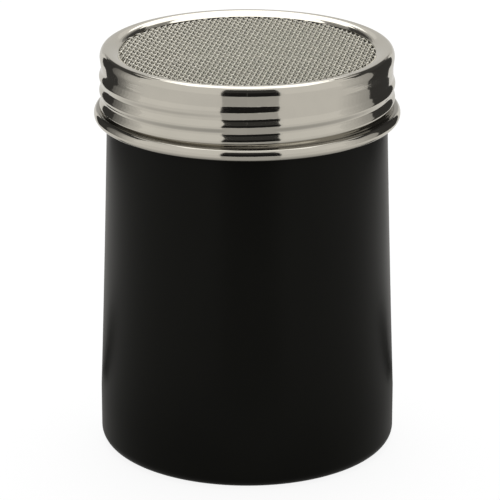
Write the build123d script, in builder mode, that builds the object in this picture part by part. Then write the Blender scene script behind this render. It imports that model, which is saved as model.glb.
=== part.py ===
"""Mesh-top shaker: a drawn can, a screw lid of pressed sheet and a woven wire screen held in it.

Millimetres. The origin is the centre of the foot, +Z points up through the screen, and the lid
is screwed home. Every piece is turned or laid out about the Z axis.

The screw thread is surface detail and isn't cut here. Its ridges stand on the lid as level rings
of the thread's own depth and pitch, over a plain bore, and the can's neck is left plain.
"""

from build123d import *
from math import cos, floor, radians, sin, sqrt
import os

# ---------------------------------------------------------------- driving dimensions (mm)

overall_height = 96.6  # foot to the crest of the rim

# the can: one piece, drawn from sheet
can_wall = 0.6
foot_radius = 35.0  # outside, just above the base corner
waist_radius = 32.78  # outside, where the wall runs up under the lid
base_corner = 3.0  # outside radius between the foot and the wall
foot_width = 4.5  # the flat ring that the can stands on
base_lift = 1.2  # how far the middle of the base stands clear of the table
straight_height = 13.0  # the wall is upright up to here, and tapers above
taper_hollow = 0.1  # how far the middle of the taper lies inside a straight line
lip_width = 1.5  # how far the turned-in mouth reaches in from the neck

# the lid: a pressed cap with a rolled thread and a rolled hem
lid_wall = 0.4
lid_height = 16.95  # hem to rim crest
lid_fit = 0.77  # gap between the lid's bore and the can's waist
rim_width = 4.15  # from the outside of the lid in to the opening that the screen fills
rim_drop = 0.7  # the rim slopes down to the opening by this much
rim_bend = 0.6  # size of the rolled edge round the rim
thread_pitch = 3.35
thread_depth = 0.5
thread_start = 5.8  # rim crest down to the top ridge
hem_reach = 1.8  # how far the hem stands out from the skirt
hem_height = 3.0
hem_bend = 0.8  # the bevel that stands for the hem's roll

# the screen: two layers of straight wires, and the flat ring that holds them up
wire_width = 0.4
wire_pitch = 1.2
weave_angle = 80.5  # degrees from +X to the upper wires
screen_overlap = 2.4  # the wires run this far in under the rim
ring_wall = 0.6
ring_inset = 0.4  # the ring's hole is larger in radius than the opening above it

# clearances
weave_gap = 0.02  # between the two layers of wires
clamp_gap = 0.05  # rim to wires, wires to ring, and ring to the can's mouth
ring_fit = 0.1  # between the ring and the lid's bore

# ---------------------------------------------------------------- derived dimensions

lid_bottom = overall_height - lid_height
bore_radius = waist_radius + lid_fit
skirt_radius = bore_radius + lid_wall
opening_radius = skirt_radius - rim_width
opening_height = overall_height - rim_drop

upper_wires_height = opening_height - lid_wall - clamp_gap - wire_width / 2
lower_wires_height = upper_wires_height - wire_width - weave_gap
ring_top = lower_wires_height - wire_width / 2 - clamp_gap
mouth_height = ring_top - ring_wall - clamp_gap
screen_radius = opening_radius + screen_overlap

neck_start = lid_bottom  # the taper ends and the upright neck begins at the lid's lower edge

os.makedirs("parts", exist_ok=True)


# ---------------------------------------------------------------- the can


def can_wall_line(inset):
    """The can's wall from the straight part up to the waist, moved in from the outside by inset."""
    low = Vector(foot_radius - inset, straight_height)
    high = Vector(waist_radius - inset, neck_start)
    middle = (low + high) / 2 - Vector(taper_hollow, 0)
    return Spline(low, middle, high)


foot_start = foot_radius - base_corner - foot_width
inside_corner = base_corner / 2  # a bevel inside keeps the corner at about the sheet's thickness

with BuildPart() as can:
    with BuildSketch(Plane.XZ) as can_section:
        with BuildLine():
            Polyline(
                (0, can_wall + base_lift),
                (0, base_lift),
                (foot_start - base_lift, base_lift),
                (foot_start, 0),
                (foot_radius, 0),
                (foot_radius, straight_height),
            )
            can_wall_line(0)
            Polyline(
                (waist_radius, neck_start),
                (waist_radius, mouth_height),
                (waist_radius - lip_width, mouth_height),
                (waist_radius - lip_width, mouth_height - can_wall),
                (waist_radius - can_wall, mouth_height - can_wall),
                (waist_radius - can_wall, neck_start),
            )
            can_wall_line(can_wall)
            Polyline(
                (foot_radius - can_wall, straight_height),
                (foot_radius - can_wall, can_wall + inside_corner),
                (foot_radius - can_wall - inside_corner, can_wall),
                (foot_start, can_wall),
                (foot_start - base_lift, can_wall + base_lift),
                (0, can_wall + base_lift),
            )
        make_face()
        outside_corner = can_section.vertices().group_by(Axis.Y)[0].sort_by(Axis.X)[-1]
        fillet(outside_corner, base_corner)
    revolve(axis=Axis.Z)
can.part.label = "can"
export_step(can.part, "parts/can.step")


# ---------------------------------------------------------------- the lid

thread_ridges = 1 + floor((lid_height - thread_start - hem_height) / thread_pitch)
ridge_heights = [overall_height - thread_start - i * thread_pitch for i in range(thread_ridges)]
ridge_line = []
for height in ridge_heights:
    ridge_line.append((skirt_radius, height + thread_pitch / 2))
    ridge_line.append((skirt_radius + thread_depth, height))

hem_radius = skirt_radius + hem_reach
hem_top = lid_bottom + hem_height

with BuildPart() as lid_shell:
    with BuildSketch(Plane.XZ):
        with BuildLine():
            Polyline(
                (bore_radius, overall_height - lid_wall),
                (opening_radius, opening_height - lid_wall),
                (opening_radius, opening_height),
                (skirt_radius - rim_bend, overall_height),
                (skirt_radius, overall_height - rim_bend),
                *ridge_line,
                (skirt_radius, hem_top),
                (hem_radius - hem_bend, hem_top),
                (hem_radius, hem_top - hem_bend),
                (hem_radius, lid_bottom + hem_bend),
                (hem_radius - hem_bend, lid_bottom),
                (bore_radius + hem_bend, lid_bottom),
                (bore_radius, lid_bottom + hem_bend),
                close=True,
            )
        make_face()
    revolve(axis=Axis.Z)
lid_shell.part.label = "lid_shell"
export_step(lid_shell.part, "parts/lid_shell.step")


# ---------------------------------------------------------------- the ring under the screen

with BuildPart() as retaining_ring:
    with BuildSketch(Plane.XY.offset(ring_top - ring_wall)):
        Circle(bore_radius - ring_fit)
        Circle(opening_radius + ring_inset, mode=Mode.SUBTRACT)
    extrude(amount=ring_wall)
retaining_ring.part.label = "retaining_ring"
export_step(retaining_ring.part, "parts/retaining_ring.step")


# ---------------------------------------------------------------- the screen's wires


def wire_layer(label, angle, height):
    """One layer of the screen: parallel wires, each a separate solid cut to the round outline."""
    along = Vector(cos(radians(angle)), sin(radians(angle)), 0)
    across = Vector(-sin(radians(angle)), cos(radians(angle)), 0)
    wires_each_side = floor((screen_radius - wire_pitch) / wire_pitch)
    with BuildPart() as layer:
        for number in range(-wires_each_side, wires_each_side + 1):
            place = number * wire_pitch
            half_length = sqrt(screen_radius**2 - place**2)
            with BuildSketch(Plane(origin=(0, 0, height), x_dir=across, z_dir=along)):
                with Locations((place, 0)):
                    Rectangle(wire_width, wire_width)
            extrude(amount=half_length, both=True)
    layer.part.label = label
    export_step(layer.part, f"parts/{label}.step")


wire_layer("upper_wires", weave_angle, upper_wires_height)
wire_layer("lower_wires", weave_angle + 90, lower_wires_height)
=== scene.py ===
# %% [markdown]
# # A mesh-top kitchen shaker
#
# The shaker has three main parts: a drawn metal can with a black coat, a screw lid pressed from thin bright
# steel, and a round screen of woven wire that a flat ring holds up under the lid's rim. The engineering
# model already fixes the main sizes and every joint. This script loads it as a frame and builds the visible
# surfaces round it, in metres, with the foot at the origin and +Z up.

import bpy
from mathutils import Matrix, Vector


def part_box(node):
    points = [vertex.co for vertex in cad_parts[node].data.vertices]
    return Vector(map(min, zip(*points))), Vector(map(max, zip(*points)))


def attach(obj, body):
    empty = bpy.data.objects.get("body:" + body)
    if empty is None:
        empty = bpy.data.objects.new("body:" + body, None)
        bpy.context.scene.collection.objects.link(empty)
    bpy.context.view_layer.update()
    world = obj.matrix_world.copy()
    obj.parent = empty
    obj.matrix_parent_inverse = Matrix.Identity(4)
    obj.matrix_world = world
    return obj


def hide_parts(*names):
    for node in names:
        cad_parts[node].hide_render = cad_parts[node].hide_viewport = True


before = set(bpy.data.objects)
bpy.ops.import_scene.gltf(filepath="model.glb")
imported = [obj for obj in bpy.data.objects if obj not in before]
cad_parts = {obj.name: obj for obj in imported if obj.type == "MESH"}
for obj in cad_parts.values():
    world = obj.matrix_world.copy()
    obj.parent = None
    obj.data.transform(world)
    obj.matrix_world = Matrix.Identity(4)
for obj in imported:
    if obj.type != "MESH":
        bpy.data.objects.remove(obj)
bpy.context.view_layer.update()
print("nodes", sorted(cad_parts))

# %% [markdown]
# The rest of the tools are Blender's own: `bpy` for objects and materials, `bmesh` for shapes. Sheet metal
# is drawn in millimetres, so every outline below is written in millimetres and turned to metres once.

# %% Tools and units
from math import atan2, cos, hypot, pi, radians, sin, sqrt, tau

import bmesh
import bpy
from mathutils import Vector

MM = 0.001
STEPS_ROUND = 256  # facets round each turned piece
MERGE_WITHIN = 0.002 * MM  # points closer than this become one
print(f"a millimetre is {MM} m, and a turned piece has {STEPS_ROUND} facets round")

# %% [markdown]
# ## The sizes that the frame fixes
#
# Each visible piece takes the place of a plain one in the frame, so it has to have the same outside. The
# sizes are read from the frame's boxes, and only what the boxes can't tell, such as the thickness of the
# sheet, is written with the piece that needs it.

# %% Sizes from the frame
can_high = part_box("can")[1]
lid_low, lid_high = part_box("lid_shell")
ring_low, ring_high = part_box("retaining_ring")
weave_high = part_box("upper_wires")[1]
weave_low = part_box("lower_wires")[0]

foot_radius = can_high.x / MM
mouth_height = can_high.z / MM
lid_bottom = lid_low.z / MM
lid_top = lid_high.z / MM
hem_radius = lid_high.x / MM
ring_bottom = ring_low.z / MM
ring_top = ring_high.z / MM
ring_radius = ring_high.x / MM
print(f"can {foot_radius:.2f} mm in radius, mouth at {mouth_height:.2f}")
print(f"lid from {lid_bottom:.2f} to {lid_top:.2f} mm, hem {hem_radius:.2f} in radius")
print(f"screen from {weave_low.z / MM:.2f} to {weave_high.z / MM:.2f} mm")

# %% [markdown]
# ## The camera
#
# A long lens from about 0.7 m away keeps the can's sides almost parallel, and a height of about 19 degrees
# shows the screen as a flat ellipse. The small shift moves the shaker within the view without turning the
# camera.

# %% Camera
camera_place = Vector((0, -0.700, 0.2942))
camera_aim = Vector((0, 0, 0.048))
camera_data = bpy.data.cameras.new("camera")
camera_data.sensor_width = 36
camera_data.lens = 225.5
camera_data.shift_x = 0.0056
camera_data.shift_y = -0.0118
camera = bpy.data.objects.new("camera", camera_data)
camera.location = camera_place
camera.rotation_mode = "QUATERNION"
camera.rotation_quaternion = (camera_aim - camera_place).to_track_quat("-Z", "Y")
bpy.context.scene.collection.objects.link(camera)
bpy.context.scene.camera = camera
print("camera at", tuple(round(c, 3) for c in camera_place))

# %% [markdown]
# ## Small helpers for node materials
#
# A material is a small graph. `add_node` makes one node and fills its inputs, and `join` draws one wire.
# Everything that is the same all over a surface is typed straight into the shader's own socket.

# %% Node helpers


def add_node(tree, kind, **inputs):
    """Adds a node. An input is named with underscores for spaces; a plain setting starts with set_."""
    made = tree.nodes.new(kind)
    for name, value in inputs.items():
        if name.startswith("set_"):
            setattr(made, name[4:], value)
        else:
            made.inputs[name.replace("_", " ")].default_value = value
    return made


def join(tree, source, output, target, socket):
    """Draws one wire from an output to an input."""
    tree.links.new(source.outputs[output], target.inputs[socket])


def new_material(name, **inputs):
    """A material with a Principled shader, some of its inputs typed in, and its node tree."""
    material = bpy.data.materials.new(name)
    material.use_nodes = True
    tree = material.node_tree
    shader = tree.nodes["Principled BSDF"]
    for socket, value in inputs.items():
        shader.inputs[socket.replace("_", " ")].default_value = value
    return material, tree, shader


def map_range(tree, source, output, taken, given):
    """Maps the range taken onto the range given, and stays level beyond its ends."""
    fit = add_node(
        tree,
        "ShaderNodeMapRange",
        From_Min=taken[0],
        From_Max=taken[1],
        To_Min=given[0],
        To_Max=given[1],
    )
    join(tree, source, output, fit, "Value")
    return fit


def mix_for_mirrors(tree, rays, elsewhere, in_mirrors):
    """One shader for what mirrors and glass see, and another for every other ray."""
    mirrored = add_node(tree, "ShaderNodeMath", set_operation="MAXIMUM")
    mix = add_node(tree, "ShaderNodeMixShader")
    join(tree, rays, "Is Glossy Ray", mirrored, 0)
    join(tree, rays, "Is Transmission Ray", mirrored, 1)
    join(tree, mirrored, 0, mix, 0)
    join(tree, elsewhere, 0, mix, 1)
    join(tree, in_mirrors, 0, mix, 2)
    return mix


# %% [markdown]
# ## The light
#
# Polished steel has almost no colour of its own: what is seen is the room. A product studio for steel is a
# pale grey tent with one large softbox overhead and a dark gap where the camera looks in. The world is the
# tent: it is white to the camera and a slightly warm pale grey to the steel.

# %% World
tent_grey = 0.80  # how bright the tent's walls look in the steel
fill_light = 0.30  # what the tent adds to matt surfaces
tent_white = (1.0, 0.985, 0.95, 1)
pure_white = (1, 1, 1, 1)

world = bpy.data.worlds.new("studio")
bpy.context.scene.world = world
world.use_nodes = True
sky = world.node_tree
sky.nodes.clear()
rays = add_node(sky, "ShaderNodeLightPath")
plain = add_node(sky, "ShaderNodeBackground", Color=pure_white, Strength=fill_light)
seen = add_node(sky, "ShaderNodeBackground", Color=pure_white, Strength=1.0)
tent = add_node(sky, "ShaderNodeBackground", Color=tent_white, Strength=tent_grey)
to_tent = mix_for_mirrors(sky, rays, plain, tent)
to_seen = add_node(sky, "ShaderNodeMixShader")
sky_out = add_node(sky, "ShaderNodeOutputWorld")
join(sky, rays, "Is Camera Ray", to_seen, 0)
join(sky, to_tent, 0, to_seen, 1)
join(sky, seen, 0, to_seen, 2)
join(sky, to_seen, 0, sky_out, "Surface")
bpy.context.scene.view_settings.view_transform = "Standard"
print(f"the tent looks {tent_grey} bright in the steel and lights matt surfaces at {fill_light}")

# %% Softbox
softbox_size = (0.60, 0.98)
softbox_place = (0, 0.37, 0.60)
softbox_watts = 2.3

softbox = bpy.data.objects.new("softbox", bpy.data.lights.new("softbox", "AREA"))
softbox.data.shape = "RECTANGLE"
softbox.data.size, softbox.data.size_y = softbox_size
softbox.data.energy = softbox_watts
softbox.location = softbox_place
bpy.context.scene.collection.objects.link(softbox)
softbox_glow = softbox_watts / (pi * softbox_size[0] * softbox_size[1])
print(f"the softbox glows at {softbox_glow:.2f}")

# %% [markdown]
# ## The floor
#
# The floor is white where the camera sees it and keeps a faint shadow: most of its white is its own glow,
# and a small matt part takes the light and loses it under the shaker. The steel sees a floor of its own,
# a glow with a painted shadow: darker close to the shaker, where the can and the lid stand over it.

# %% Floor sheet
floor_size = 6.0
floor_sink = 0.00005  # a hair below the foot, so that the two faces never lie in one plane

grid = bmesh.new()
bmesh.ops.create_grid(grid, x_segments=1, y_segments=1, size=floor_size / 2)
bmesh.ops.translate(grid, verts=grid.verts, vec=(0, 0, -floor_sink))
floor_mesh = bpy.data.meshes.new("floor")
grid.to_mesh(floor_mesh)
grid.free()
floor = bpy.data.objects.new("floor", floor_mesh)
bpy.context.scene.collection.objects.link(floor)
print("floor", floor_size, "m square")

# %% Floor paint
floor_matt = 0.22
floor_glow = 0.89
floor_in_steel = (0.35, 0.735)  # how bright it glows in the steel: darker near the shaker as a painted shadow, and full farther out
floor_shadow_fade = (0.05, 0.16)  # the distances from Z, in metres, over which the painted shadow fades out

floor_paint, tree, shader = new_material("floor_paint")
tree.nodes.remove(shader)
rays = add_node(tree, "ShaderNodeLightPath")
matt = add_node(tree, "ShaderNodeBsdfDiffuse", Color=(floor_matt,) * 3 + (1,))
only_seen = add_node(tree, "ShaderNodeMath", set_operation="MULTIPLY")
only_seen.inputs[1].default_value = floor_glow
glow = add_node(tree, "ShaderNodeEmission")
both = add_node(tree, "ShaderNodeAddShader")
join(tree, rays, "Is Camera Ray", only_seen, 0)
join(tree, only_seen, 0, glow, "Strength")
join(tree, matt, 0, both, 0)
join(tree, glow, 0, both, 1)
# painted shadow in reflections: the floor that the steel sees glows darker close to the shaker
place = add_node(tree, "ShaderNodeTexCoord")
distance = add_node(tree, "ShaderNodeVectorMath", set_operation="LENGTH")
join(tree, place, "Object", distance, 0)
painted_floor_shadow = map_range(tree, distance, "Value", floor_shadow_fade, floor_in_steel)
table = add_node(tree, "ShaderNodeEmission", Color=tent_white)
join(tree, painted_floor_shadow, 0, table, "Strength")
choose = mix_for_mirrors(tree, rays, both, table)
join(tree, choose, 0, tree.nodes["Material Output"], "Surface")
floor_mesh.materials.append(floor_paint)
print("floor paint:", len(tree.nodes), "nodes")

# %% [markdown]
# ## The cards
#
# The lid shows the whole room in miniature, so its dark lines are the dark places of the studio. The gap
# that the camera looks in through draws the short black bars in front. A dark strip at each side draws the
# columns near the lid's edges, and seams higher up draw soft crescents on the rim. Each of these is one or
# more flat cards that only reflections see, so the camera looks straight through them from any side.

# %% Card helpers
card_lift = 0.001  # a card that lies on the floor is this far above it
panel_turn = 4  # a curtain is made of flat panels of about this many degrees
cards = []


def add_card(name, corners, brightness):
    """A flat card through four corners, in metres, that shows only in reflections."""
    sheet = bmesh.new()
    sheet.faces.new([sheet.verts.new(corner) for corner in corners])
    mesh = bpy.data.meshes.new(name)
    sheet.to_mesh(mesh)
    sheet.free()
    paint, tree, shader = new_material(name + "_paint")
    tree.nodes.remove(shader)
    glow = add_node(tree, "ShaderNodeEmission", Color=tent_white, Strength=brightness)
    join(tree, glow, 0, tree.nodes["Material Output"], "Surface")
    mesh.materials.append(paint)
    card = bpy.data.objects.new(name, mesh)
    bpy.context.scene.collection.objects.link(card)
    card.visible_camera = False
    card.visible_diffuse = False
    card.visible_shadow = False
    card.visible_transmission = False
    cards.append(card)


def at_bearing(bearing, distance, height):
    """The point at a bearing in degrees from the camera, round to the right, and a distance from Z."""
    return distance * sin(radians(bearing)), -distance * cos(radians(bearing)), height


def level_at(levels, share):
    """The brightness at a share of the way through a row of levels."""
    if len(levels) == 1:
        return levels[0]
    along = share * (len(levels) - 1)
    step = min(int(along), len(levels) - 2)
    return levels[step] + (levels[step + 1] - levels[step]) * (along - step)


def add_curtain(name, bearings, distance, heights, levels):
    """An upright curtain round Z between two bearings, its brightness running through the levels."""
    start, end = bearings
    low, high = heights
    panels = max(1, round(abs(end - start) / panel_turn))
    edges = [start + (end - start) * i / panels for i in range(panels + 1)]
    for i in range(panels):
        corners = [
            at_bearing(edges[i], distance, low),
            at_bearing(edges[i + 1], distance, low),
            at_bearing(edges[i + 1], distance, high),
            at_bearing(edges[i], distance, high),
        ]
        add_card(f"{name}_{i}", corners, level_at(levels, (i + 0.5) / panels))


def add_wedge(name, bearings, distances, brightness):
    """A patch of the floor between two bearings and two distances from Z."""
    start, end = bearings
    near, far = distances
    corners = [
        at_bearing(start, near, card_lift),
        at_bearing(end, near, card_lift),
        at_bearing(end, far, card_lift),
        at_bearing(start, far, card_lift),
    ]
    add_card(name, corners, brightness)


# %% Cards in front
gap_near = 0.31  # how far in front of the shaker the pale table ends
gap_left = 0.104
gap_right = 0.135
gap_levels = [(card_lift, 0.19, 0.014), (0.19, 0.42, 0.045)]  # from, to, brightness
for low, high, brightness in gap_levels:
    corners = [
        (-gap_left, -gap_near, low),
        (gap_right, -gap_near, low),
        (gap_right, -gap_near, high),
        (-gap_left, -gap_near, high),
    ]
    add_card(f"camera_gap_{low:.2f}", corners, brightness)
add_wedge("front_floor", bearings=(-18.5, 23.5), distances=(0.06, 0.305), brightness=0.46)
print(len(cards), "cards in front")

# %% Cards at the sides and behind
column_distance = 0.15  # the columns hang close to the shaker
column_heights = (0.035, 0.15)
column_dark = 0.045
side_columns = {"left": (113.5, 136), "right": (101, 137)}  # the bearings of the two edges
fade_turn = 32  # degrees over which the tent darkens towards a column
side_fades = {"left": (0.72, 0.56, 0.27, 0.14), "right": (0.74, 0.60, 0.46, 0.38)}
floor_gap_start = 113.5
floor_gap_short = 8  # degrees that the dark floor ends before its column
floor_gap_reach = (0.06, 0.12)
seam_distance = 0.35  # the seams and the back are on the tent's wall
seams = {  # bearings, heights and brightness
    "seam": ((92, 160), (0.20, 0.40), (0.06,)),
    "seam_end": ((160, 169), (0.22, 0.36), (0.12, 0.72)),
    "high_seam": ((128, 156), (0.40, 0.58), (0.10, 0.45)),
}

add_curtain("back", bearings=(150, 210), distance=seam_distance, heights=(0.10, 0.24), levels=(0.66,))
for side, turn in (("left", -1), ("right", 1)):
    near, far = side_columns[side]
    fade_bearings = (turn * (near - fade_turn), turn * near)
    column_bearings = (turn * near, turn * far)
    floor_bearings = (turn * floor_gap_start, turn * (far - floor_gap_short))
    add_curtain(side + "_fade", fade_bearings, column_distance, column_heights, side_fades[side])
    add_curtain(side + "_column", column_bearings, column_distance, column_heights, (column_dark,))
    add_wedge(side + "_floor_gap", floor_bearings, floor_gap_reach, column_dark)
    for part, ((start, end), heights, levels) in seams.items():
        add_curtain(f"{side}_{part}", (turn * start, turn * end), seam_distance, heights, levels)
print(len(cards), "cards in all")

# %% [markdown]
# ## Turning a section into a piece
#
# The can, the lid and the ring are all bodies of revolution. Each is one outline of the metal, cut through
# one side and turned once round Z with `bmesh.ops.spin`. The outline runs round both faces of the sheet and
# so gives it its real thickness: the edges show as they should, and nothing has to be thickened afterwards.
# Corners are arcs made by one small helper, because pressed sheet has no sharp corner anywhere.

# %% Section helpers


def arc(centre, reach, start, end, steps):
    """Points on an ellipse arc: centre and reach are (radius, height) pairs, angles in degrees."""
    turns = [radians(start + (end - start) * i / steps) for i in range(steps + 1)]
    return [(centre[0] + reach[0] * cos(t), centre[1] + reach[1] * sin(t)) for t in turns]


def line(start, end, steps):
    """Evenly spaced points from start up to, and not including, end."""
    share = [i / steps for i in range(steps)]
    return [(start[0] + (end[0] - start[0]) * s, start[1] + (end[1] - start[1]) * s) for s in share]


def spin_section(outline, closed=True):
    """Turns an outline in millimetres once round Z. One that starts and ends on Z stays open there."""
    turned = bmesh.new()
    points = [turned.verts.new((r * MM, 0, z * MM)) for r, z in outline]
    pairs = list(zip(points, points[1:])) + ([(points[-1], points[0])] if closed else [])
    edges = [turned.edges.new(pair) for pair in pairs]
    bmesh.ops.spin(
        turned,
        geom=points + edges,
        cent=(0, 0, 0),
        axis=(0, 0, 1),
        dvec=(0, 0, 0),
        angle=tau,
        steps=STEPS_ROUND,
        use_merge=True,
        use_duplicate=False,
    )
    bmesh.ops.remove_doubles(turned, verts=turned.verts, dist=MERGE_WITHIN)
    bmesh.ops.recalc_face_normals(turned, faces=turned.faces)
    return turned


def make_piece(name, shape, body, replaced, slot, *materials):
    """Writes a bmesh into a new object that rides on a body and stands for a node of the frame."""
    for face in shape.faces:
        face.smooth = True
    mesh = bpy.data.meshes.new(name)
    shape.to_mesh(mesh)
    shape.free()
    for material in materials:
        mesh.materials.append(material)
    piece = bpy.data.objects.new(name, mesh)
    bpy.context.scene.collection.objects.link(piece)
    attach(piece, body)
    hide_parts(replaced)
    print(f"{name}: {len(mesh.vertices)} points, {len(mesh.polygons)} faces")


# %% [markdown]
# ## Patterns on steel and paint
#
# No real surface is the same all over. The patterns here are noises, laid on the piece by its own
# coordinates. For turned metal the coordinates are unrolled first: the bearing round Z becomes one of them
# and the height another, and a noise that is squeezed along one of them makes fine lines.

# %% Pattern helpers
noise_middle = (0.25, 0.75)  # almost all of a noise's values lie between these
tint_ends = (0.3, 0.7)  # the noise's values at which a tint has reached its two colours


def round_coordinates(tree, radius):
    """Object coordinates unrolled round Z: x is the way round, y the reach from the axis, z the height."""
    place = add_node(tree, "ShaderNodeTexCoord")
    split = add_node(tree, "ShaderNodeSeparateXYZ")
    bearing = add_node(tree, "ShaderNodeMath", set_operation="ARCTAN2")
    way_round = add_node(tree, "ShaderNodeMath", set_operation="MULTIPLY")
    way_round.inputs[1].default_value = radius
    square_x = add_node(tree, "ShaderNodeMath", set_operation="MULTIPLY")
    square_both = add_node(tree, "ShaderNodeMath", set_operation="MULTIPLY_ADD")
    reach = add_node(tree, "ShaderNodeMath", set_operation="SQRT")
    unrolled = add_node(tree, "ShaderNodeCombineXYZ")
    join(tree, place, "Object", split, 0)
    join(tree, split, "X", bearing, 0)
    join(tree, split, "Y", bearing, 1)
    join(tree, bearing, 0, way_round, 0)
    join(tree, split, "X", square_x, 0)
    join(tree, split, "X", square_x, 1)
    join(tree, split, "Y", square_both, 0)
    join(tree, split, "Y", square_both, 1)
    join(tree, square_x, 0, square_both, 2)
    join(tree, square_both, 0, reach, 0)
    join(tree, way_round, 0, unrolled, "X")
    join(tree, reach, 0, unrolled, "Y")
    join(tree, split, "Z", unrolled, "Z")
    return unrolled


def add_noise(tree, source, output, per_mm, detail=2.0, roughness=0.5):
    """A noise with its own number of features per millimetre along each coordinate."""
    stretch = add_node(tree, "ShaderNodeMapping", Scale=[n / MM for n in per_mm])
    noise = add_node(tree, "ShaderNodeTexNoise", Scale=1.0, Detail=detail, Roughness=roughness)
    join(tree, source, output, stretch, "Vector")
    join(tree, stretch, 0, noise, "Vector")
    return noise


def vary_roughness(tree, noise, lowest_highest, shader):
    """Lets the shader's roughness follow a noise between its lowest and highest value."""
    join(tree, map_range(tree, noise, 0, noise_middle, lowest_highest), 0, shader, "Roughness")


def tint(tree, noise, colours):
    """A colour that runs from the first of two to the second with a noise."""
    ramp = add_node(tree, "ShaderNodeValToRGB")
    for element, position, colour in zip(ramp.color_ramp.elements, tint_ends, colours):
        element.position = position
        element.color = (*colour, 1)
    join(tree, noise, 0, ramp, "Fac")
    return ramp


def add_bump(tree, noise, strength, height_mm, under=None):
    """A relief that follows a noise, on top of the relief under it."""
    bump = add_node(tree, "ShaderNodeBump", Strength=strength, Distance=height_mm * MM)
    join(tree, noise, 0, bump, "Height")
    if under:
        join(tree, under, 0, bump, "Normal")
    return bump


# %% [markdown]
# ## Bright steel
#
# The lid is stainless sheet, polished and then rolled. Up close its shine is broken by fine lines across
# the sheet, by faint patches and by the level marks of the rollers, so the reflections have slightly ragged
# edges. Little light gets into the crease where the skirt meets the hem, so painted shade darkens the
# steel's colour in a narrow band there.

# %% Bright steel
lid_reach = 34 * MM  # about the skirt's radius, to unroll it by
across_per_mm = (3.0, 0.05, 0.12)  # features in a millimetre: round the lid, out from Z and up
patches_per_mm = (0.10, 0.06, 0.10)
rolled_per_mm = (0.12, 0.05, 1.1)
bright_roughness = (0.05, 0.10)
bright_colours = ((0.60, 0.575, 0.515), (0.645, 0.615, 0.55))
# painted shade: the crease band, where the steel's colour is darkened to stand in for the shade there
crease_middle = (lid_bottom + 2.86) * MM
crease_band = (0.10 * MM, 0.38 * MM)  # distances from its middle: full depth, and no darker than elsewhere
crease_painted_shade = 0.50

bright_steel, tree, shader = new_material("bright_steel", Metallic=1.0)
skin = round_coordinates(tree, lid_reach)
lines_across = add_noise(tree, skin, 0, across_per_mm, detail=3.0, roughness=0.6)
patches = add_noise(tree, skin, 0, patches_per_mm)
roll_marks = add_noise(tree, skin, 0, rolled_per_mm, detail=3.0, roughness=0.6)
vary_roughness(tree, lines_across, bright_roughness, shader)

colour = tint(tree, patches, bright_colours)
# painted shade: the colour is scaled down near the crease, fully at its middle and not at all at the band's
# edge
skin_parts = add_node(tree, "ShaderNodeSeparateXYZ")
from_crease = add_node(tree, "ShaderNodeMath", set_operation="SUBTRACT")
from_crease.inputs[1].default_value = crease_middle
crease_distance = add_node(tree, "ShaderNodeMath", set_operation="ABSOLUTE")
join(tree, skin, 0, skin_parts, 0)
join(tree, skin_parts, "Z", from_crease, 0)
join(tree, from_crease, 0, crease_distance, 0)
crease_painted_shading = map_range(tree, crease_distance, 0, crease_band, (crease_painted_shade, 1.0))
shade = add_node(tree, "ShaderNodeVectorMath", set_operation="SCALE")
join(tree, colour, 0, shade, 0)
join(tree, crease_painted_shading, 0, shade, "Scale")
join(tree, shade, 0, shader, "Base Color")

fine = add_bump(tree, lines_across, strength=0.25, height_mm=0.002)
wavy = add_bump(tree, patches, strength=0.6, height_mm=0.03, under=fine)
rolled = add_bump(tree, roll_marks, strength=1.0, height_mm=0.012, under=wavy)
join(tree, rolled, 0, shader, "Normal")
print("bright steel:", len(tree.nodes), "nodes")

# %% [markdown]
# ## The black coat and the bare steel inside
#
# The can is coated black outside. A baked coat is satin: it spreads the light widely and shows a very fine
# orange peel. Inside the can and on its neck, where the lid's thread runs, the drawn steel is bare and duller
# than the lid.

# %% Black coat
peel_per_mm = (1.1, 1.1, 1.1)
cloud_per_mm = (0.05, 0.05, 0.03)
coat_roughness = (0.27, 0.33)
coat_colours = ((0.0150, 0.0150, 0.0126), (0.0178, 0.0178, 0.0150))

black_coat, tree, shader = new_material("black_coat", Specular_IOR_Level=0.08)
place = add_node(tree, "ShaderNodeTexCoord")
peel = add_noise(tree, place, "Object", peel_per_mm)
cloud = add_noise(tree, place, "Object", cloud_per_mm)
vary_roughness(tree, cloud, coat_roughness, shader)
colour = tint(tree, cloud, coat_colours)
orange_peel = add_bump(tree, peel, strength=0.15, height_mm=0.01)
join(tree, colour, 0, shader, "Base Color")
join(tree, orange_peel, 0, shader, "Normal")
print("black coat:", len(tree.nodes), "nodes")

# %% Bare drawn steel
neck_reach = 33 * MM  # about the neck's radius, to unroll it by
drawn_per_mm = (0.8, 0.3, 0.03)
bare_roughness = (0.24, 0.38)
bare_colours = ((0.50, 0.48, 0.44), (0.58, 0.555, 0.505))

bare_steel, tree, shader = new_material("bare_steel", Metallic=1.0)
skin = round_coordinates(tree, neck_reach)
draw_lines = add_noise(tree, skin, 0, drawn_per_mm, detail=3.0, roughness=0.6)
vary_roughness(tree, draw_lines, bare_roughness, shader)
colour = tint(tree, draw_lines, bare_colours)
join(tree, colour, 0, shader, "Base Color")
print("bare steel:", len(tree.nodes), "nodes")

# %% [markdown]
# ## The screw
#
# The can's neck and the lid's skirt carry the same screw thread. A point's place along it is its height and
# its bearing together, so one formula says for both how far a point is from a crest. The thread is rolled
# into the sheet: it moves points straight out from Z and leaves their heights alone.

# %% Screw helpers
thread_pitch = 3.35
thread_middle = 90.8  # height of the top turn's crest, straight in front


def screw_place(x, y, z):
    """A point's turns down the screw, whole on a crest, and how far along the ridge its nearest crest is."""
    bearing = atan2(x, -y) / tau  # 0 in front, a quarter to the right
    turns = (thread_middle - z) / thread_pitch + bearing
    return turns, round(turns) - bearing


def ridge_at(turns):
    """The height of a round ridge: 1 on a crest and 0 halfway between two."""
    return 0.5 + 0.5 * cos(tau * turns)


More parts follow.
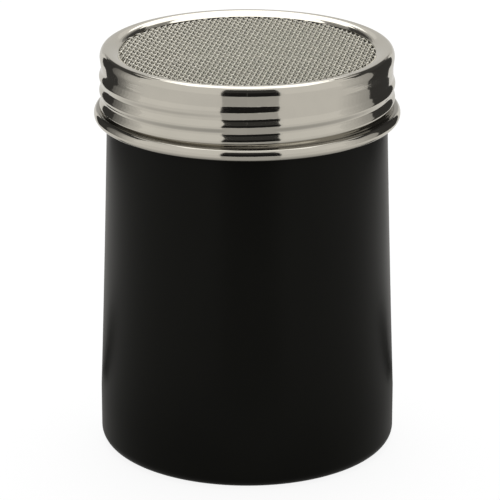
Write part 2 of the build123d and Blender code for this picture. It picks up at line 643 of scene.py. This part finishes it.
def fade(value, start, end):
    """0 before start, 1 after end, and smooth between them."""
    share = min(1, max(0, (value - start) / (end - start)))
    return share * share * (3 - 2 * share)


def push_out(point, distance):
    """Moves a point straight away from Z by a distance in millimetres."""
    reach = hypot(point.x, point.y)
    point.x *= 1 + distance * MM / reach
    point.y *= 1 + distance * MM / reach


print("the screw climbs", thread_pitch, "mm a turn")

# %% [markdown]
# ## The can
#
# The can is one cup drawn from sheet. Its foot is a rounded corner round a flat ring, and the middle of the
# base is pushed up so that it stands without rocking. The wall is upright for a little way and then leans in
# to the lid, very slightly hollow. At the top the neck turns in to a narrow lip that the ring lands on.

# %% Can section
can_wall = 0.6
waist_radius = 32.78
foot_corner = 3.0
base_lift = 1.2
base_bend = 0.9
base_steps = 10
foot_ring_inner = 27.5
wall_start = foot_corner + 1  # the outline's next point above the corner
straight_top = 13.0
taper_hollow = 0.1
taper_steps = 24
neck_steps = 56
lip_reach = 1.5
lip_bend = 0.45
neck_end = 1.1  # below the mouth, where the neck's inner face starts to turn in
neck_turn = (0.1, 0.75)  # in from the inner face and below the mouth, a point of that turn
outer_steps, inner_steps = 14, 10  # along the two faces of the foot's corner
wall_steps = 2
bend_steps = 6
lip_steps = 8


def taper(inset):
    """The wall from the upright part to the waist, leaning in and slightly hollow."""
    points = []
    for i in range(taper_steps):
        t = i / taper_steps
        radius = foot_radius + (waist_radius - foot_radius) * t - 4 * taper_hollow * t * (1 - t)
        points.append((radius - inset, straight_top + (lid_bottom - straight_top) * t))
    return points


def base_line(above):
    """Half of the base, from the axis out to the foot's flat ring: a dish with a soft edge."""
    inner = foot_ring_inner - 2 * base_bend
    points = [(0, above + base_lift), (inner / 2, above + base_lift)]
    for i in range(base_steps + 1):
        drop = fade(i / base_steps, 0, 1)
        points.append((inner + 2 * base_bend * i / base_steps, above + base_lift * (1 - drop)))
    return points


corner_centre = (foot_radius - foot_corner, foot_corner)
inner_corner = foot_corner - can_wall
inner_radius = foot_radius - can_wall
neck_inner = waist_radius - can_wall
outside = (
    base_line(0)
    + arc(corner_centre, (foot_corner, foot_corner), -90, 0, outer_steps)
    + line((foot_radius, wall_start), (foot_radius, straight_top), wall_steps)
    + taper(0)
    + line((waist_radius, lid_bottom), (waist_radius, mouth_height - lip_bend), neck_steps)
    + arc((waist_radius - lip_bend, mouth_height - lip_bend), (lip_bend, lip_bend), 0, 90, bend_steps)
)
inside = (
    base_line(can_wall)
    + arc(corner_centre, (inner_corner, inner_corner), -90, 0, inner_steps)
    + line((inner_radius, wall_start), (inner_radius, straight_top), wall_steps)
    + taper(can_wall)
    + line((neck_inner, lid_bottom), (neck_inner, mouth_height - neck_end), neck_steps)
    + [(neck_inner - neck_turn[0], mouth_height - neck_turn[1])]
)
lip_half = can_wall / 2
lip_end = waist_radius - lip_reach + lip_half
lip = arc((lip_end, mouth_height - lip_half), (lip_half, lip_half), 90, 270, lip_steps)
can_outline = outside + lip + inside[::-1]
print("can outline", len(can_outline), "points")

# %% [markdown]
# The thread's ridge rises and runs out softly at its two ends. The coat covers the outside and ends a
# little above the lid's lower edge, where the lid hides its end. Everything inside and above is bare.

# %% Can
neck_thread = 0.95  # how far the ridge stands out of the neck
thread_from, thread_to = 0.10, 1.85  # turns down the screw
thread_run_out = 0.12  # turns over which it rises and runs out
lip_clear = 1.0  # the thread keeps this far below the mouth
coat_edge = lid_bottom + 1.6
foot_level = 2  # faces that look down below this height are the underside

shape = spin_section(can_outline, closed=False)
for vertex in shape.verts:
    x, y, z = vertex.co / MM
    if z < lid_bottom or z > mouth_height - lip_clear:
        continue
    turns, along = screw_place(x, y, z)
    rise = fade(along, thread_from, thread_from + thread_run_out)
    run_out = 1 - fade(along, thread_to - thread_run_out, thread_to)
    push_out(vertex.co, neck_thread * ridge_at(turns) ** 2 * (rise * run_out))
bmesh.ops.recalc_face_normals(shape, faces=shape.faces)
for face in shape.faces:
    middle = face.calc_center_median() / MM
    outward = face.normal.x * middle.x + face.normal.y * middle.y > 0
    under_foot = middle.z < foot_level and face.normal.z < 0
    coated = (outward or under_foot) and middle.z < coat_edge
    face.material_index = 0 if coated else 1
make_piece("can_shell", shape, "can", "can", "can_coat", black_coat, bare_steel)

# %% [markdown]
# ## The lid
#
# The lid is pressed from thinner sheet. From the middle out, the section is: the edge that holds the screen,
# a narrow rim that slopes up to a rounded crest, the upright skirt with the rolled thread, and a hem that is
# curled outward into a bead, drawn here as a solid one. The outer and the inner line of the sheet are drawn
# separately, and the thread moves both by the same amount, as a roller does.

# %% Lid section
lid_wall = 0.4
skirt_radius = 33.95
bore_radius = skirt_radius - lid_wall
opening_radius = 29.8
edge_round = 0.07  # radius of the sheet's edge round the opening
edge_drop = 1.04  # from the crest down to the middle of that edge
flange_round = 5.0  # the rim is a soft dome: this radius inside the crest, and two closer ones outside
crest_rounds = (1.2, 2.9)
crest_turn = 30  # degrees left to turn where the closer radius gives way to the wider one
crest_radius = 32.82
flange_turn = 36  # degrees of the dome on the sheet's upper face
flange_turn_under = 14  # and on its lower face, which ends over the screen's edge
thread_top = thread_middle + 1.2
crease_height = lid_bottom + 2.65
hem_middle = 34.55  # from Z to the middle of the bead
hem_half = 1.45  # half of the bead's height
hem_corner = 0.45  # the round where the bead meets the bore
hem_start = 122  # the angle on the bead, in degrees, where it leaves the crease
edge_end = 110  # the angle on the sheet's edge where it meets the rim
bore_start = lid_bottom + 0.6
skirt_steps = 64
flange_steps = 14
crest_steps = 10
blend_steps = 6
edge_steps = 8
hem_steps = 26
corner_steps = 6

flange_centre = (crest_radius, lid_top - flange_round)
first_centre = (crest_radius, lid_top - crest_rounds[0])
step_in = crest_rounds[0] - crest_rounds[1]
second_centre = (
    first_centre[0] + step_in * cos(radians(crest_turn)),
    first_centre[1] + step_in * sin(radians(crest_turn)),
)


def rim_line(inset, turn):
    """The rim's outline from near the opening over the crest to the wall, moved in by inset."""
    sizes = [size - inset for size in (flange_round, *crest_rounds)]
    return (
        arc(flange_centre, (sizes[0], sizes[0]), 90 + turn, 90, flange_steps)[:-1]
        + arc(first_centre, (sizes[1], sizes[1]), 90, crest_turn, crest_steps)
        + arc(second_centre, (sizes[2], sizes[2]), crest_turn, 0, crest_steps)[1:]
    )


hem_centre = (hem_middle, lid_bottom + hem_half)
hem_size = (hem_radius - hem_middle, hem_half)
hem_inner = (bore_radius + hem_corner, lid_bottom + hem_corner)
edge_place = (opening_radius + edge_round, lid_top - edge_drop)
rim_edge = arc(edge_place, (edge_round, edge_round), 270, edge_end, edge_steps)
rim_out = rim_line(0, flange_turn)
rim_in = rim_line(lid_wall, flange_turn_under)
lid_outline = (
    rim_edge
    + rim_out[:-1]
    + line(rim_out[-1], (skirt_radius, thread_top), blend_steps)
    + line((skirt_radius, thread_top), (skirt_radius, crease_height), skirt_steps)
    + arc(hem_centre, hem_size, hem_start, -90, hem_steps)
    + arc(hem_inner, (hem_corner, hem_corner), -90, -180, corner_steps)
    + line((bore_radius, bore_start), (bore_radius, thread_top), skirt_steps)
    + line((bore_radius, thread_top), rim_in[-1], blend_steps)
    + rim_in[::-1]
)
print("lid outline", len(lid_outline), "points")

# %% [markdown]
# The thread rises softly near the front of its top turn and dies out just above the crease, so that the hem
# stays round.

# %% Lid
lid_thread = 0.5  # how far the ridge stands out of the skirt
thread_start = (-0.18, 0.25)  # turns down the screw over which it rises
thread_end = (0.1, 0.9)  # heights above the crease over which it dies out
above_thread = 0.5  # the highest points that the thread may move are this far above its top
hem_margin = 0.01  # points farther out than the skirt by more than this are the hem's

shape = spin_section(lid_outline)
for vertex in shape.verts:
    x, y, z = vertex.co / MM
    in_hem = hypot(x, y) > skirt_radius + hem_margin
    if z > thread_top + above_thread or in_hem:
        continue
    turns, along = screw_place(x, y, z)
    level = fade(z, crease_height + thread_end[0], crease_height + thread_end[1])
    push_out(vertex.co, lid_thread * ridge_at(turns) * level * fade(along, *thread_start))
make_piece("lid_sheet", shape, "lid", "lid_shell", "lid_steel", bright_steel)

# %% [markdown]
# ## The ring under the screen
#
# A flat ring of sheet presses the screen up against the rim. It is hidden while the lid is on, and shows
# when the lid is turned over.

# %% Ring
ring_hole = 30.2
ring_corner = 0.15
ring_corner_steps = 3
corner_size = (ring_corner, ring_corner)
outer_middle = ring_radius - ring_corner
inner_middle = ring_hole + ring_corner
upper_middle = ring_top - ring_corner
lower_middle = ring_bottom + ring_corner
ring_outline = (
    arc((outer_middle, upper_middle), corner_size, 90, 0, ring_corner_steps)
    + arc((outer_middle, lower_middle), corner_size, 0, -90, ring_corner_steps)
    + arc((inner_middle, lower_middle), corner_size, -90, -180, ring_corner_steps)
    + arc((inner_middle, upper_middle), corner_size, 180, 90, ring_corner_steps)
)
shape = spin_section(ring_outline)
make_piece("ring_plate", shape, "retaining_ring", "retaining_ring", "lid_steel", bare_steel)

# %% [markdown]
# ## The woven screen
#
# A woven screen has two families of wires. Here the warp is thick and stays straight, and the thinner weft
# bends over one warp wire and under the next, which draws slanting stripes across the screen. Each wire is
# one spline of a curve object, and the curve's bevel gives all of them the same round section. The weft
# needs only two points for each crossing, one before it and one after, so the mesh stays light although
# there are more than a hundred wires.

# %% Wire steel
stains_per_mm = (0.9, 0.9, 0.9)
wire_roughness = (0.30, 0.42)
# the wires' colour is their own bright steel plus a painted brightening: it is lighter than real steel to
# stand in for light reflected up onto the screen from below
wire_colours_with_painted_light = ((0.75, 0.731, 0.663), (0.83, 0.808, 0.732))

wire_steel, tree, shader = new_material("wire_steel", Metallic=1.0)
place = add_node(tree, "ShaderNodeTexCoord")
stains = add_noise(tree, place, "Object", stains_per_mm)
vary_roughness(tree, stains, wire_roughness, shader)
colour = tint(tree, stains, wire_colours_with_painted_light)
join(tree, colour, 0, shader, "Base Color")
print("wire steel:", len(tree.nodes), "nodes")

# %% Screen
warp_width = 0.50
weft_width = 0.28
wire_pitch = 1.2
weave_angle = 80.5  # degrees from +X to the warp
screen_radius = 32.2
warp_drop = 1.13  # from the rim's crest down to the top of the warp
warp_height = lid_top - warp_drop - warp_width / 2
weft_wave = (warp_width + weft_width) / 2
clamped = 29.5  # beyond this radius the weft stays under the warp, so nothing stands up into the rim
flat_share = 0.22  # of the pitch, each side of a crossing


def weave_family(name, angle, width, wave, replaced):
    """One family of wires as a single mesh, width across, that crosses the others at plus and minus wave."""
    curve = bpy.data.curves.new(name, "CURVE")
    curve.dimensions = "3D"
    curve.bevel_depth = width / 2 * MM
    curve.bevel_resolution = 2
    curve.use_fill_caps = True
    along = Vector((cos(radians(angle)), sin(radians(angle)), 0))
    across = Vector((-along.y, along.x, 0))
    count = int((screen_radius - wire_pitch) / wire_pitch)
    for number in range(-count, count + 1):
        side = number * wire_pitch
        half = sqrt(screen_radius**2 - side**2)
        crossings = int(half / wire_pitch)
        points = []
        for crossing in range(-crossings, crossings + 1):
            free = hypot(side, crossing * wire_pitch) < clamped
            height = warp_height + (wave if free and (number + crossing) % 2 else -wave)
            for offset in (-flat_share, flat_share):
                way = (crossing + offset) * wire_pitch
                if abs(way) < half:
                    points.append(along * way + across * side + Vector((0, 0, height)))
        spline = curve.splines.new("POLY")
        spline.points.add(len(points) - 1)
        for target, point in zip(spline.points, points):
            target.co = (*(point * MM), 1)
    source = bpy.data.objects.new(name + "_curve", curve)
    mesh = bpy.data.meshes.new_from_object(source)
    bpy.data.objects.remove(source)
    shape = bmesh.new()
    shape.from_mesh(mesh)
    bpy.data.meshes.remove(mesh)
    bmesh.ops.remove_doubles(shape, verts=shape.verts, dist=MERGE_WITHIN)
    bmesh.ops.recalc_face_normals(shape, faces=shape.faces)
    make_piece(name, shape, "lid", replaced, "screen_wire", wire_steel)


weave_family("screen_warp", weave_angle, warp_width, 0, "upper_wires")
weave_family("screen_weft", weave_angle + 90, weft_width, weft_wave, "lower_wires")
